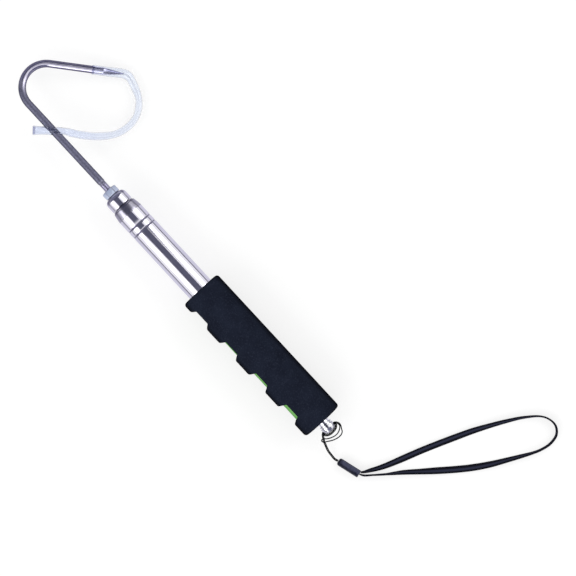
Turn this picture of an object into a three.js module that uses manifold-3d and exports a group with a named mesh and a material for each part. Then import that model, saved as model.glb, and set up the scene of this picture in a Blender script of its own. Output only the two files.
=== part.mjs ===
// Telescopic fishing gaff, pushed together and lying on a table: four nested steel tubes, a screwed-in hook
// with a vinyl tube guarding its point, a foam grip with finger notches, and a wrist lanyard at the butt.
// Millimetres. +X runs from the butt to the hook, +Z is up, and the grip lies on z = 0.

import * as THREE from "three";
import { mergeVertices } from "three/addons/utils/BufferGeometryUtils.js";
import Module from "manifold-3d";

const wasm = await Module();
wasm.setup();

// Fits
const seatGap = 0.3; // between pieces that touch
const slideGap = 0.2; // radial play of a ring on a tube or in a bore
const mouthGap = 0.25; // radial play of a section in the mouth it slides through
const overrun = 1; // how far a cutter reaches past what it cuts

// Telescoping tubes
const poleRadius = 11;
const tubeWall = 0.6;
const ringWall = 0.5;
const ringLength = 12;
const flareLength = 1;
const flareHeight = 0.45;
const outerTubeLength = 219.7;
const mouthLength = 4.6;
const sectionCount = 4;
const lip2Length = 1.2; // how far the second section stands out of the outer tube's mouth
const lip3Length = 0.2;
const lip4Length = 0.1;
const grooveWidth = 2;
const grooveDepth = 0.5;
const grooveSetback = 17.7; // from the mouth to the front groove
const groovePitch = 5.8;
const poleSides = 32;
const holeSides = 16;

// Grip
const gripRadius = 18;
const gripLength = 139;
const gripEdge = 2.5;
const gripEndWall = 4.7;
const gripShoulder = 6;
const gripSides = 36;
const linerRadius = 14;
const notchCount = 4;
const notchPitch = 33.3;
const notchForward = 2.8; // the notch row's middle, forward of the grip's
const notchMouth = 18.9;
const notchFloor = 12.8;
const notchPlane = 11.7; // from the pole's axis to the bottom of the cut
const firstNotchTurn = THREE.MathUtils.degToRad(-11);
const notchTurn = THREE.MathUtils.degToRad(4);

// Butt
const plugLength = 12;
const plugFlange = 1.2;
const plugFlangeRadius = 10.6;
const threadRadius = 3; // M6, on the hook and on the end cap's stud
const studLength = 12;
const neckRadius = 4.4;
const neckLength = 2.9; // outside the grip
const capRidgeRadius = 5.4;
const capRidgeWidth = 0.9;
const capGrooveRadius = 4.8;
const capGrooveWidth = 0.9;
const headRadius = 5.9;
const headEndRadius = 4.7;
const headLength = 5.9;
const headChamfer = 0.7;
const eyeRadius = 1.8;
const eyeSetback = 3.1; // from the head's end to the eye
const capSides = 28;

// Hook and what holds it
const ferruleStem = 20;
const ferruleRadius = 9.3;
const ferruleCollar = 6;
const ferruleDome = 4;
const ferruleNose = 5.8;
const nutAcrossFlats = 11;
const nutThickness = 5.8;
const nutChamfer = 0.7;
const wireRadius = threadRadius;
const threadDepthInside = 23;
const shankLength = 97; // from the ferrule's nose to the bend
const bendRadius = 19.2;
const bendSweep = THREE.MathUtils.degToRad(139.5);
const runLength = 58;
const pointLength = 16;
const pointRadius = 0.25;
const wireSides = 12;
const wireSpacing = 4;
const threadPitch = 1;
const threadCutDepth = 0.6;
const threadCrest = 0.15;
const threadTurns = 8; // cut in front of the nut, where the thread shows

// Point guard
const guardRadius = 3.2;
const guardWall = 0.6;
const guardCover = 25; // how much of the run it covers
const guardStretch = 0.5; // how much its outside grows over the wire
const guardWireGap = 0.25;
const guardBulge = 1.1; // extra half width, across the hook's plane, where the shank pierces it
const guardEase = 9; // length over which a stretch fades away
const guardFlare = 0.35;
const guardSquash = 0.7; // how much it flattens in its plane where its bend is tight
const guardTightBend = 20;
const guardSides = 12;
const guardSpacing = 3;
// From the point on, along x and y, as shares of the gape; the shank's axis is at 1 across.
const guardRouteShares = [
  [-0.056, -0.019],
  [-0.141, -0.002],
  [-0.292, 0.057],
  [-0.363, 0.114],
  [-0.435, 0.22],
  [-0.461, 0.357],
  [-0.429, 0.522],
  [-0.31, 0.694],
  [-0.157, 0.832],
  [-0.034, 0.919],
  [0.04, 1],
  [0.081, 1.039],
  [0.2, 1.164],
];
const guardPierceIndex = 10; // the point of that route on the shank's axis

// Lanyard
const cordRadius = 0.45;
const cordPitch = 1.3; // between the two strands of the doubled cord
const cordSteps = 80;
const cordSides = 8;
const sliderWidth = 6.2;
const sliderHeight = 6;
const sliderCorner = 1.8;
const sliderBevel = 0.6;
const sliderGrooveWidth = 0.9;
const sliderGrooveDepth = 0.5;
const strapWidth = 5.2;
const strapThickness = 1;
const strapPitch = 1.9; // between the two runs where they enter the slider
const strapAside = 1; // of the middle between them from the slider's middle line
const strapLift = 0.05; // of the strap and its slider off the table
const strapSteps = 96;

// Middle of the doubled cord, from the slider to the place where its end loop leaves the eye. The pole's axis
// is at y = 0 and z = 18 here, and the grip's middle near x = 0.
const cordPair = [
  [-98.6, 13.4, 2.9],
  [-94.8, 13.3, 3.1],
  [-89.9, 12.7, 4.4],
  [-84.6, 11.0, 7.0],
  [-81.6, 9.8, 9.0],
  [-79.6, 8.9, 11.8],
  [-78.0, 7.9, 14.6],
  [-77.1, 6.4, 16.6],
  [-76.8, 4.2, 17.35],
  [-76.8, 0, 17.35],
  [-76.8, -4.2, 17.3],
  [-77.5, -5.9, 17.2],
  [-79.2, -6.6, 17.2],
  [-80.9, -5.9, 17.3],
  [-81.6, -4.2, 17.5],
  [-81.6, 0, 18.0],
  [-81.6, 4.2, 18.4],
  [-80.9, 5.9, 18.6],
  [-79.2, 6.6, 18.7],
  [-77.5, 5.9, 18.75],
  [-76.8, 4.2, 18.7],
  [-76.8, 0, 18.65],
  [-76.8, -4.2, 18.8],
  [-77.6, -6.4, 19.2],
  [-79.6, -7.7, 19.4],
  [-81.6, -7.9, 19.1],
];
// The loose end loop, from the outer strand round the standing pair to the inner strand.
const cordLoop = [
  [-83.6, -8.4, 18.4],
  [-86.0, -6.9, 17.2],
  [-87.6, -4.3, 15.8],
  [-88.1, -0.8, 14.2],
  [-87.1, 3.4, 12.9],
  [-84.9, 7.6, 11.4],
  [-83.5, 10.4, 9.8],
  [-82.0, 11.8, 9.5],
  [-80.4, 11.3, 8.4],
  [-80.1, 9.4, 7.7],
  [-81.0, 7.8, 8.4],
  [-82.2, 6.3, 10.2],
  [-83.3, 4.1, 12.3],
  [-84.5, 1.0, 14.4],
  [-84.9, -2.2, 16.0],
  [-84.3, -4.8, 17.4],
  [-83.0, -6.3, 18.4],
];
// The wrist strap's middle line seen from above, and how far it leans from standing on its edge, in degrees.
const strapRoute = [
  [-121.2, 3.9, 13],
  [-123.6, -0.5, 27],
  [-126.7, -6.3, 38],
  [-129.8, -13.2, 48],
  [-134.8, -26.8, 62],
  [-139.6, -40.5, 60],
  [-144.8, -54.0, 59],
  [-150.1, -67.2, 56],
  [-155.6, -80.4, 50],
  [-161.6, -92.9, 36],
  [-168.0, -105.2, 25],
  [-175.0, -117.0, 14],
  [-183.6, -127.4, 4],
  [-190.1, -130.7, 1],
  [-196.7, -130.7, 3],
  [-202.1, -126.5, 6],
  [-204.0, -118.5, 9],
  [-202.6, -109.8, 9],
  [-199.9, -103.0, 11],
  [-196.8, -96.8, 19],
  [-190.4, -84.5, 33],
  [-183.8, -72.3, 51],
  [-176.5, -60.8, 63],
  [-168.4, -49.9, 67],
  [-159.9, -39.4, 59],
  [-151.2, -29.0, 41],
  [-142.5, -18.7, 27],
  [-134.5, -8.0, 6],
  [-127.9, 0.1, 2],
  [-123.2, 5.6, 1],
];
const sliderFront = new THREE.Vector3(-101.6, 12.45, 0);
const sliderRear = new THREE.Vector3(-120, 7.55, 0);

// Radii and places worked out from the sizes above, with the grip's middle at x = 0
const sectionStep = tubeWall + 2 * slideGap + ringWall;
const sectionRadius = (section) => poleRadius - (section - 1) * sectionStep;
const gripFront = gripLength / 2;
const gripRear = -gripLength / 2;
const plugFlangeRear = gripRear + gripEndWall + seatGap;
const outerRear = plugFlangeRear + plugFlange + seatGap;
const plugFront = plugFlangeRear + plugFlange + plugLength;
const sectionRear = plugFront + seatGap;
const outerMouth = outerRear + outerTubeLength;
const mouth2 = outerMouth + lip2Length;
const mouth3 = mouth2 + lip3Length;
const mouth4 = mouth3 + lip4Length;
const ferruleRear = mouth4 + seatGap;
const ferruleFront = ferruleRear + ferruleCollar + ferruleDome;
const sliderMiddle = sliderHeight / 2 + strapLift;
const headEnd = gripRear - neckLength - capRidgeWidth - capGrooveWidth - headLength;

// Materials
const paint = (color, roughness, metalness) => new THREE.MeshStandardMaterial({ color, roughness, metalness });
const steel = paint(0xc9c9d2, 0.18, 1);
const hookSteel = paint(0x77758a, 0.25, 1);
const zinc = paint(0xa9b8d6, 0.35, 1);
const chrome = paint(0xd5d7df, 0.12, 1);
const nylon = paint(0xe4e2da, 0.5, 0);
const blackFoam = paint(0x23262f, 0.95, 0);
const greenFoam = paint(0x6fae5e, 0.9, 0);
const vinyl = new THREE.MeshStandardMaterial({
  color: 0xdde2f4, roughness: 0.15, metalness: 0, transparent: true, opacity: 0.45,
});
const blackCord = paint(0x15161a, 0.8, 0);
const bluePlastic = paint(0x2b2d4c, 0.4, 0);
const webbing = paint(0x18191d, 0.85, 0);

const part = new THREE.Group();
const pole = new THREE.Group(); // its x axis is the pole's
pole.position.z = gripRadius;
const lanyard = new THREE.Group();
part.add(pole, lanyard);

function add(group, name, geometry, material) {
  const mesh = new THREE.Mesh(geometry, material);
  mesh.name = name;
  group.add(mesh);
  return mesh;
}

// Cutting and joining
function toSolid(geometry) {
  const bare = geometry.clone();
  bare.deleteAttribute("normal");
  bare.deleteAttribute("uv");
  const merged = mergeVertices(bare);
  return new wasm.Manifold(
    new wasm.Mesh({
      numProp: 3,
      vertProperties: new Float32Array(merged.attributes.position.array),
      triVerts: new Uint32Array(merged.index.array),
    }),
  );
}

function toGeometry(solid) {
  const { vertProperties, triVerts } = solid.getMesh();
  const geometry = new THREE.BufferGeometry();
  geometry.setAttribute("position", new THREE.BufferAttribute(vertProperties, 3));
  geometry.setIndex(new THREE.BufferAttribute(triVerts, 1));
  geometry.computeVertexNormals();
  return geometry;
}

function cut(geometry, ...cutters) {
  return toGeometry(cutters.reduce((solid, cutter) => solid.subtract(toSolid(cutter)), toSolid(geometry)));
}

// A turned piece about the x axis: its outline is a list of [x, radius], walked with the material on its left.
function turned(outline, sides = poleSides) {
  const points = outline.map(([x, radius]) => new THREE.Vector2(radius, x));
  return new THREE.LatheGeometry(points, sides).rotateZ(-Math.PI / 2);
}

function ring(rear, front, bore, outer, sides = poleSides) {
  return turned([[rear, bore], [rear, outer], [front, outer], [front, bore], [rear, bore]], sides);
}

// A cylinder along the x axis
function bar(rear, front, radius, sides = poleSides) {
  return turned([[rear, 0], [rear, radius], [front, radius], [front, 0]], sides);
}

// Telescoping tubes: the mouth rolls in round the next section, and two rolled grooves behind it, whose beads
// stand proud inside, trap the bush and stop the next section's guide ring.
const grooveMiddles = (mouth) => [mouth - grooveSetback - groovePitch, mouth - grooveSetback];

function wallOutline(radius, mouth, mouthRadius) {
  const grooves = grooveMiddles(mouth).flatMap((middle) => [
    [middle - grooveWidth / 2, radius],
    [middle, radius - grooveDepth],
    [middle + grooveWidth / 2, radius],
  ]);
  const rollSteps = 3;
  const roll = Array.from({ length: rollSteps + 1 }, (_, i) => {
    const angle = ((i / rollSteps) * Math.PI) / 2;
    return [mouth - mouthLength * (1 - Math.sin(angle)), mouthRadius + (radius - mouthRadius) * Math.cos(angle)];
  });
  return [...grooves, ...roll];
}

function sectionTube(section, mouth, flared) {
  const radius = sectionRadius(section);
  const mouthBore = sectionRadius(section + 1) + mouthGap;
  const rear = flared ? sectionRear : outerRear;
  const outside = wallOutline(radius, mouth, mouthBore + tubeWall);
  const inside = wallOutline(radius - tubeWall, mouth, mouthBore).reverse();
  const outsideRear = flared ? [[rear, radius + flareHeight], [rear + flareLength, radius]] : [[rear, radius]];
  const insideRear = flared
    ? [[rear + flareLength, radius - tubeWall], [rear, radius - tubeWall + flareHeight]]
    : [[rear, radius - tubeWall]];
  return turned([...outsideRear, ...outside, ...inside, ...insideRear, outsideRear[0]]);
}

// The innermost section has a plain mouth, which the ferrule's stem fills.
function lastSectionTube() {
  const radius = sectionRadius(sectionCount);
  const bore = radius - tubeWall;
  return turned([
    [sectionRear, radius + flareHeight],
    [sectionRear + flareLength, radius],
    [mouth4, radius],
    [mouth4, bore],
    [sectionRear + flareLength, bore],
    [sectionRear, bore + flareHeight],
    [sectionRear, radius + flareHeight],
  ]);
}

function mouthBush(section, mouth) {
  const [rearGroove, frontGroove] = grooveMiddles(mouth);
  const margin = grooveWidth / 2 + seatGap;
  const bore = sectionRadius(section + 1) + slideGap;
  return ring(rearGroove + margin, frontGroove - margin, bore, bore + ringWall);
}

function guideRing(section) {
  const rear = sectionRear + flareLength + seatGap;
  const bore = sectionRadius(section) + slideGap;
  return ring(rear, rear + ringLength, bore, bore + ringWall);
}

add(pole, "outer_tube", sectionTube(1, outerMouth, false), steel);
add(pole, "section_2_tube", sectionTube(2, mouth2, true), steel);
add(pole, "section_3_tube", sectionTube(3, mouth3, true), steel);
add(pole, "section_4_tube", lastSectionTube(), steel);
add(pole, "outer_bush", mouthBush(1, outerMouth), nylon);
add(pole, "section_2_bush", mouthBush(2, mouth2), nylon);
add(pole, "section_3_bush", mouthBush(3, mouth3), nylon);
for (let section = 2; section <= sectionCount; section++) {
  add(pole, `guide_ring_${section}`, guideRing(section), nylon);
}

// Grip: a black sleeve whose finger notches are milled right through to the round green liner
function gripSleeve() {
  const edgeSteps = 3;
  const edge = (middleX, outward) =>
    Array.from({ length: edgeSteps + 1 }, (_, i) => {
      const angle = ((i / edgeSteps) * Math.PI) / 2;
      return [
        middleX + outward * gripEdge * Math.cos(angle),
        gripRadius - gripEdge + gripEdge * Math.sin(angle),
      ];
    });
  const tubeBore = poleRadius + seatGap;
  const neckBore = neckRadius + seatGap;
  const linerBore = linerRadius + seatGap;
  const wallFront = gripRear + gripEndWall;
  const pocketRear = outerRear + gripShoulder;
  const pocketFront = gripFront - gripShoulder;
  return turned(
    [
      [gripRear, neckBore],
      ...edge(gripRear + gripEdge, -1),
      ...edge(gripFront - gripEdge, 1).reverse(),
      [gripFront, tubeBore],
      [pocketFront, tubeBore],
      [pocketFront, linerBore],
      [pocketRear, linerBore],
      [pocketRear, tubeBore],
      [wallFront, tubeBore],
      [wallFront, neckBore],
      [gripRear, neckBore],
    ],
    gripSides,
  );
}

function notchCutter(index) {
  const middle = gripFront - gripLength / 2 + notchForward + notchPitch * ((notchCount - 1) / 2 - index);
  const top = gripRadius + overrun;
  const slope = (notchMouth - notchFloor) / 2 / (gripRadius - notchPlane);
  const halfTop = notchFloor / 2 + slope * (top - notchPlane);
  const outline = new THREE.Shape([
    new THREE.Vector2(middle - notchFloor / 2, notchPlane),
    new THREE.Vector2(middle + notchFloor / 2, notchPlane),
    new THREE.Vector2(middle + halfTop, top),
    new THREE.Vector2(middle - halfTop, top),
  ]);
  return new THREE.ExtrudeGeometry(outline, { depth: 2 * gripRadius, bevelEnabled: false })
    .translate(0, 0, -gripRadius)
    .rotateX(firstNotchTurn + notchTurn * index);
}

const notches = Array.from({ length: notchCount }, (_, index) => notchCutter(index));
add(pole, "grip_sleeve", cut(gripSleeve(), ...notches), blackFoam);
const linerRear = outerRear + gripShoulder + seatGap;
const linerFront = gripFront - gripShoulder - seatGap;
add(pole, "grip_liner", ring(linerRear, linerFront, poleRadius + seatGap, linerRadius), greenFoam);

// Butt: a plug in the outer tube, and the end cap screwed into it
function rearPlug() {
  const body = poleRadius - tubeWall - slideGap;
  const bore = threadRadius + seatGap;
  const flangeFront = plugFlangeRear + plugFlange;
  return turned([
    [plugFlangeRear, bore],
    [plugFlangeRear, plugFlangeRadius],
    [flangeFront, plugFlangeRadius],
    [flangeFront, body],
    [plugFront, body],
    [plugFront, bore],
    [plugFlangeRear, bore],
  ]);
}

function endCap() {
  const shoulder = plugFlangeRear - seatGap;
  const ridge = gripRear - neckLength;
  const groove = ridge - capRidgeWidth;
  const head = groove - capGrooveWidth;
  const body = turned(
    [
      [headEnd, 0],
      [headEnd, headEndRadius - headChamfer],
      [headEnd + headChamfer, headEndRadius],
      [head, headRadius],
      [head, capGrooveRadius],
      [groove, capGrooveRadius],
      [groove, capRidgeRadius],
      [ridge, capRidgeRadius],
      [ridge, neckRadius],
      [shoulder, neckRadius],
      [shoulder, threadRadius],
      [shoulder + studLength, threadRadius],
      [shoulder + studLength, 0],
    ],
    capSides,
  );
  const reach = headRadius + overrun;
  const eye = new THREE.CylinderGeometry(eyeRadius, eyeRadius, 2 * reach, holeSides).translate(
    headEnd + eyeSetback,
    0,
    0,
  );
  return cut(body, eye);
}

add(pole, "rear_plug", rearPlug(), nylon);
add(pole, "end_cap", endCap(), chrome);

// Ferrule: its stem fills the innermost tube, its collar closes the others, and the hook screws into it.
function hookFerrule() {
  const stem = sectionRadius(sectionCount) - tubeWall - mouthGap;
  const bore = threadRadius + seatGap;
  const collarFront = ferruleRear + ferruleCollar;
  const domeSteps = 3;
  const dome = Array.from({ length: domeSteps }, (_, i) => {
    const angle = (((i + 1) / domeSteps) * Math.PI) / 2;
    return [
      collarFront + ferruleDome * Math.sin(angle),
      ferruleNose + (ferruleRadius - ferruleNose) * Math.cos(angle),
    ];
  });
  return turned([
    [ferruleRear - ferruleStem, bore],
    [ferruleRear - ferruleStem, stem],
    [ferruleRear, stem],
    [ferruleRear, ferruleRadius],
    [collarFront, ferruleRadius],
    ...dome,
    [ferruleFront, bore],
    [ferruleRear - ferruleStem, bore],
  ]);
}

function lockNut() {
  const rear = ferruleFront + seatGap;
  const corner = nutAcrossFlats / 2 / Math.cos(Math.PI / 6);
  const hexagon = bar(rear, rear + nutThickness, corner, 6).rotateX(Math.PI / 6); // a flat faces up
  const round = turned([
    [rear, 0],
    [rear, nutAcrossFlats / 2],
    [rear + nutChamfer, corner],
    [rear + nutThickness - nutChamfer, corner],
    [rear + nutThickness, nutAcrossFlats / 2],
    [rear + nutThickness, 0],
  ]);
  const bore = bar(rear - overrun, rear + nutThickness + overrun, threadRadius + seatGap, holeSides);
  return toGeometry(toSolid(hexagon).intersect(toSolid(round)).subtract(toSolid(bore)));
}

add(pole, "hook_ferrule", hookFerrule(), steel);
add(pole, "lock_nut", lockNut(), zinc);

// Swept pieces. The lengths of a frame's two vectors stretch the section at that step.
function framesOf(curve, steps, frameAt) {
  const tangents = [];
  const normals = [];
  const binormals = [];
  for (let i = 0; i <= steps; i++) {
    const u = i / steps;
    const tangent = curve.getTangentAt(u);
    const { across, acrossStretch = 1, upStretch = 1 } = frameAt(u, tangent);
    const normal = across.clone().projectOnPlane(tangent).normalize();
    const binormal = new THREE.Vector3().crossVectors(tangent, normal);
    tangents.push(tangent);
    normals.push(normal.multiplyScalar(acrossStretch));
    binormals.push(binormal.multiplyScalar(upStretch));
  }
  return { tangents, normals, binormals };
}

function sweep(curve, section, steps, frameAt, curveSegments) {
  if (frameAt) curve.computeFrenetFrames = () => framesOf(curve, steps, frameAt);
  return new THREE.ExtrudeGeometry(section, { steps, extrudePath: curve, curveSegments });
}

const disc = (radius, sides) =>
  new THREE.Shape(
    Array.from({ length: sides }, (_, i) => {
      const angle = (i / sides) * 2 * Math.PI;
      return new THREE.Vector2(radius * Math.cos(angle), radius * Math.sin(angle));
    }),
  );
const up = new THREE.Vector3(0, 0, 1);
const flatAcross = (tangent) => new THREE.Vector3().crossVectors(up, tangent);

// Hook: drawn flat in the plane of its bend, then rolled about the pole until the guard lies on the table
class HookRoute extends THREE.Curve {
  constructor() {
    super();
    this.start = ferruleFront - threadDepthInside;
    this.bendStart = ferruleFront + shankLength;
    this.bendLength = bendRadius * bendSweep;
    this.straight = this.bendStart - this.start;
    this.length = this.straight + this.bendLength + runLength;
    this.runStart = this.onBend(bendSweep);
    this.heading = new THREE.Vector3(Math.cos(bendSweep), -Math.sin(bendSweep), 0);
    this.tip = this.runStart.clone().addScaledVector(this.heading, runLength);
  }

  onBend(angle) {
    return new THREE.Vector3(
      this.bendStart + bendRadius * Math.sin(angle),
      bendRadius * (Math.cos(angle) - 1),
      0,
    );
  }

  getPoint(t) {
    const along = t * this.length;
    if (along <= this.straight) return new THREE.Vector3(this.start + along, 0, 0);
    const bent = along - this.straight;
    if (bent <= this.bendLength) return this.onBend(bent / bendRadius);
    return this.runStart.clone().addScaledVector(this.heading, bent - this.bendLength);
  }
}

const hookRoute = new HookRoute();
const gape = -hookRoute.tip.y;

function hookWire() {
  const steps = Math.round(hookRoute.length / wireSpacing);
  const grind = (u) => {
    const left = (1 - u) * hookRoute.length;
    return Math.min(1, (pointRadius + ((wireRadius - pointRadius) * left) / pointLength) / wireRadius);
  };
  const wire = sweep(hookRoute, disc(wireRadius, wireSides), steps, (u, tangent) => ({
    across: flatAcross(tangent),
    acrossStretch: grind(u),
    upStretch: grind(u),
  }));
  const threadRear = ferruleFront + nutThickness + 2 * seatGap;
  return cut(wire, ...Array.from({ length: threadTurns }, (_, i) => threadCutter(threadRear + (i + 1) * threadPitch)));
}

// A ring with a sharp inner edge, which leaves one groove of the thread
function threadCutter(middle) {
  const halfWidth = threadPitch / 2 - threadCrest / 2;
  const widening = (overrun * halfWidth) / threadCutDepth;
  return turned(
    [
      [middle, threadRadius - threadCutDepth],
      [middle - halfWidth - widening, threadRadius + overrun],
      [middle + halfWidth + widening, threadRadius + overrun],
      [middle, threadRadius - threadCutDepth],
    ],
    holeSides,
  );
}

// Guard: a hollow tube that stretches over the wire and round the shank, and flattens where it bends
function guardCurve() {
  const { tip, heading } = hookRoute;
  const start = tip.clone().addScaledVector(heading, -guardCover);
  const middle = tip.clone().addScaledVector(heading, -guardCover / 2);
  const loop = guardRouteShares.map(([x, y]) => new THREE.Vector3(tip.x + x * gape, tip.y + y * gape, 0));
  return new THREE.CatmullRomCurve3([start, middle, tip, ...loop], false, "centripetal");
}

// Half sizes of the tube's outside and bore at each step: in the hook's plane and across it
function guardSections(curve) {
  const length = curve.getLength();
  const steps = Math.round(length / guardSpacing);
  const pierce = new THREE.Vector3(hookRoute.tip.x + guardRouteShares[guardPierceIndex][0] * gape, 0, 0);
  const fade = (distance) => Math.exp(-((distance / guardEase) ** 2));
  const bore = guardRadius - guardWall;
  const boreStretch = wireRadius + guardWireGap - bore;
  return Array.from({ length: steps + 1 }, (_, i) => {
    const u = i / steps;
    const point = curve.getPointAt(u);
    const tangent = curve.getTangentAt(u);
    const turn = curve.getTangentAt(Math.max(0, u - 1 / steps)).angleTo(curve.getTangentAt(Math.min(1, u + 1 / steps)));
    const bend = (turn * steps) / (2 * length);
    const overWire = fade(Math.max(0, u * length - guardCover));
    const flare = guardFlare * fade(2 * (1 - u) * length);
    const bulge = guardBulge * fade(point.distanceTo(pierce));
    const squash = guardSquash * Math.min(1, bend * guardTightBend) * (1 - overWire);
    const outside = guardRadius + guardStretch * overWire + flare;
    const inside = bore + boreStretch * overWire + flare;
    return {
      point,
      across: flatAcross(tangent).normalize(),
      outside: [outside - squash, outside + bulge + squash / 2],
      inside: [inside - squash, inside + bulge + squash / 2],
    };
  });
}

function guardTube() {
  const sections = guardSections(guardCurve());
  const ringOf = ({ point, across }, [flatSize, upSize]) =>
    Array.from({ length: guardSides }, (_, k) => {
      const angle = (k / guardSides) * 2 * Math.PI;
      return point
        .clone()
        .addScaledVector(across, flatSize * Math.cos(angle))
        .addScaledVector(up, upSize * Math.sin(angle));
    });
  // The rings go out along the outside and come back along the bore.
  const rings = [
    ...sections.map((section) => ringOf(section, section.outside)),
    ...sections.map((section) => ringOf(section, section.inside)).reverse(),
  ];
  const faces = rings.flatMap((_, i) =>
    Array.from({ length: guardSides }, (_, k) => {
      const here = i * guardSides;
      const next = ((i + 1) % rings.length) * guardSides;
      const after = (k + 1) % guardSides;
      return [here + k, here + after, next + after, here + k, next + after, next + k];
    }).flat(),
  );
  const geometry = new THREE.BufferGeometry().setFromPoints(rings.flat());
  geometry.setIndex(faces);
  return geometry;
}

function pointGuard() {
  const shank = bar(ferruleFront, hookRoute.bendStart, wireRadius + guardWireGap, guardSides);
  return cut(guardTube(), shank);
}

const hookPlane = new THREE.Group();
const guardReach = gape * (1 - Math.min(...guardRouteShares.map(([, y]) => y)));
hookPlane.rotation.x = Math.asin((gripRadius - guardRadius - guardStretch) / guardReach);
pole.add(hookPlane);
add(hookPlane, "hook", hookWire(), hookSteel);
add(hookPlane, "point_guard", pointGuard(), vinyl);

// Lanyard cord: the pair's middle line gives two lanes, which the end loop joins
function lane(side) {
  const start = sliderFront.clone().lerp(sliderRear, -seatGap / sliderFront.distanceTo(sliderRear));
  start.z = sliderMiddle;
  const middle = [start, ...cordPair.map((point) => new THREE.Vector3(...point))];
  const curve = new THREE.CatmullRomCurve3(middle, false, "centripetal");
  return middle.map((point, i) => {
    const tangent = curve.getTangent(i / (middle.length - 1));
    const across = flatAcross(tangent).normalize();
    return point.clone().addScaledVector(across, (side * cordPitch) / 2);
  });
}

function lanyardCord() {
  const loop = cordLoop.map((point) => new THREE.Vector3(...point));
  const points = [...lane(1), ...loop, ...lane(-1).reverse()];
  const curve = new THREE.CatmullRomCurve3(points, false, "centripetal");
  return sweep(curve, disc(cordRadius, cordSides), cordSteps);
}

// Slider: a rounded plastic bar with a groove along its top
function cordSlider() {
  const length = sliderFront.distanceTo(sliderRear) - 2 * sliderBevel;
  const halfWidth = sliderWidth / 2 - sliderBevel;
  const halfHeight = sliderHeight / 2 - sliderBevel;
  const round = sliderCorner - sliderBevel;
  const outline = new THREE.Shape();
  outline.absarc(halfWidth - round, halfHeight - round, round, 0, Math.PI / 2);
  outline.absarc(round - halfWidth, halfHeight - round, round, Math.PI / 2, Math.PI);
  outline.absarc(round - halfWidth, round - halfHeight, round, Math.PI, 1.5 * Math.PI);
  outline.absarc(halfWidth - round, round - halfHeight, round, 1.5 * Math.PI, 2 * Math.PI);
  const body = new THREE.ExtrudeGeometry(outline, {
    depth: length,
    curveSegments: 4,
    bevelSize: sliderBevel,
    bevelThickness: sliderBevel,
    bevelSegments: 2,
  }).translate(0, 0, -length / 2);
  const groove = new THREE.BoxGeometry(sliderGrooveWidth, 2 * sliderGrooveDepth, length);
  return cut(body, groove.translate(0, sliderHeight / 2, 0));
}

const slider = add(lanyard, "cord_slider", cordSlider(), bluePlastic);
slider.position.copy(sliderFront).lerp(sliderRear, 1 / 2);
slider.position.z = sliderMiddle;
slider.up.copy(up);
slider.lookAt(new THREE.Vector3(sliderFront.x, sliderFront.y, sliderMiddle));

// Wrist strap: flat webbing that stands on its edge or leans, always with its lower edge on the table
class StrapRoute extends THREE.CatmullRomCurve3 {
  constructor(rows) {
    super(rows.map(([x, y]) => new THREE.Vector3(x, y, 0)), false, "centripetal");
    this.leans = rows.map(([, , lean]) => THREE.MathUtils.degToRad(lean));
  }

  leanAt(t) {
    const place = Math.min(t, 1) * (this.leans.length - 1);
    const before = Math.min(Math.floor(place), this.leans.length - 2);
    return THREE.MathUtils.lerp(this.leans[before], this.leans[before + 1], place - before);
  }

  getPoint(t, target = new THREE.Vector3()) {
    super.getPoint(t, target);
    const lean = this.leanAt(t);
    target.z = (strapWidth * Math.cos(lean) + strapThickness * Math.sin(lean)) / 2 + strapLift;
    return target;
  }
}

function wristStrap() {
  const along = sliderRear.clone().sub(sliderFront).normalize();
  const start = sliderRear.clone().addScaledVector(along, seatGap);
  const side = flatAcross(along);
  start.addScaledVector(side, strapAside);
  const across = side.multiplyScalar(strapPitch / 2);
  const first = start.clone().add(across);
  const last = start.clone().sub(across);
  const curve = new StrapRoute([[first.x, first.y, 0], ...strapRoute, [last.x, last.y, 0]]);
  const section = new THREE.Shape([
    new THREE.Vector2(-strapWidth / 2, -strapThickness / 2),
    new THREE.Vector2(strapWidth / 2, -strapThickness / 2),
    new THREE.Vector2(strapWidth / 2, strapThickness / 2),
    new THREE.Vector2(-strapWidth / 2, strapThickness / 2),
  ]);
  return sweep(curve, section, strapSteps, (u, tangent) => {
    const lean = curve.leanAt(curve.getUtoTmapping(u));
    const leaning = flatAcross(tangent).normalize().multiplyScalar(Math.sin(lean));
    return { across: leaning.addScaledVector(up, Math.cos(lean)) };
  });
}

add(lanyard, "lanyard_cord", lanyardCord(), blackCord);
add(lanyard, "wrist_strap", wristStrap(), webbing);

// The frame's origin lies under the middle of the object without its lanyard.
const bounds = new THREE.Box3().setFromObject(pole, true);
const middle = bounds.getCenter(new THREE.Vector3());
part.position.set(-middle.x, -middle.y, 0);

export default part;
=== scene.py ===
"""Visual model of a telescopic fishing gaff: polished steel tubes, foam grip, guarded hook and wrist lanyard.

Sizes are in millimetres. They count from the grip's middle (x = 0), the pole's axis (y = 0) and the
table (z = 0), and +X runs to the hook. The stage is given in metres.
"""

import math

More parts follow.
